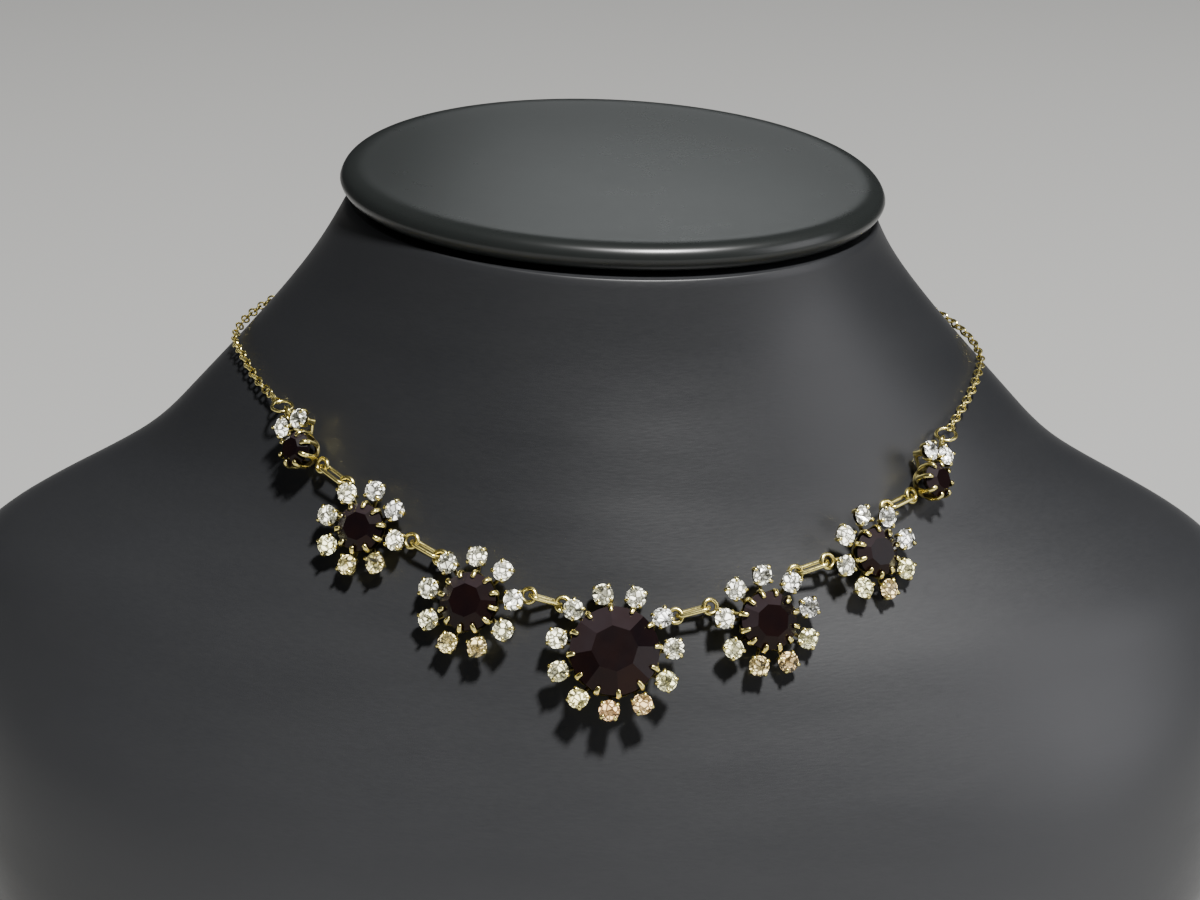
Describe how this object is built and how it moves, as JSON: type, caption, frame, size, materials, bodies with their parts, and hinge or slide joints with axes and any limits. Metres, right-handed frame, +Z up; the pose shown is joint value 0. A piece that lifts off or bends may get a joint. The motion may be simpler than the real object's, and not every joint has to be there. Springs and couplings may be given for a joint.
{
  "type": "rhinestone necklace on a neck bust",
  "caption": "Gold-tone necklace of red and clear stone flowers on a fine chain, shown closed round a low grey neck bust with a capped neck.",
  "frame": {"origin": "on the floor under the middle of the bust", "axes": "+X to the wearer's left, which is the picture's right; +Y to the back of the bust; +Z up. The necklace's front faces -Y"},
  "size_m": [0.2678, 0.145, 0.1596],
  "materials": {
    "bust": "satin dark grey coating, slightly purple at the neck, with a soft sheen",
    "cap": "satin dark grey-green coating with a softly rounded, shinier rim",
    "gold_metal": "pale yellow gold plating, polished, darker in the hollows",
    "red_stone": "faceted dark garnet-red glass, nearly opaque, polished",
    "clear_stone": "faceted clear glass with a silvered back, polished"
  },
  "bodies": {
    "root": {"neck_bust": "bust", "neck_cap": "cap", "setting_left_end": "gold_metal", "setting_left_outer": "gold_metal", "setting_left_mid": "gold_metal", "setting_centre": "gold_metal", "setting_right_mid": "gold_metal", "setting_right_outer": "gold_metal", "setting_right_end": "gold_metal", "garnet_left_end": "red_stone", "garnet_left_outer": "red_stone", "garnet_left_mid": "red_stone", "garnet_centre": "red_stone", "garnet_right_mid": "red_stone", "garnet_right_outer": "red_stone", "garnet_right_end": "red_stone", "clear_stones_left_end": "clear_stone", "clear_stones_left_outer": "clear_stone", "clear_stones_left_mid": "clear_stone", "clear_stones_centre": "clear_stone", "clear_stones_right_mid": "clear_stone", "clear_stones_right_outer": "clear_stone", "clear_stones_right_end": "clear_stone", "link_left_end": "gold_metal", "link_left_outer": "gold_metal", "link_left_mid": "gold_metal", "link_right_mid": "gold_metal", "link_right_outer": "gold_metal", "link_right_end": "gold_metal", "jump_ring_left": "gold_metal", "jump_ring_right": "gold_metal", "chain_left": "gold_metal", "chain_right": "gold_metal", "clasp": "gold_metal"}
  },
  "joints": []
}
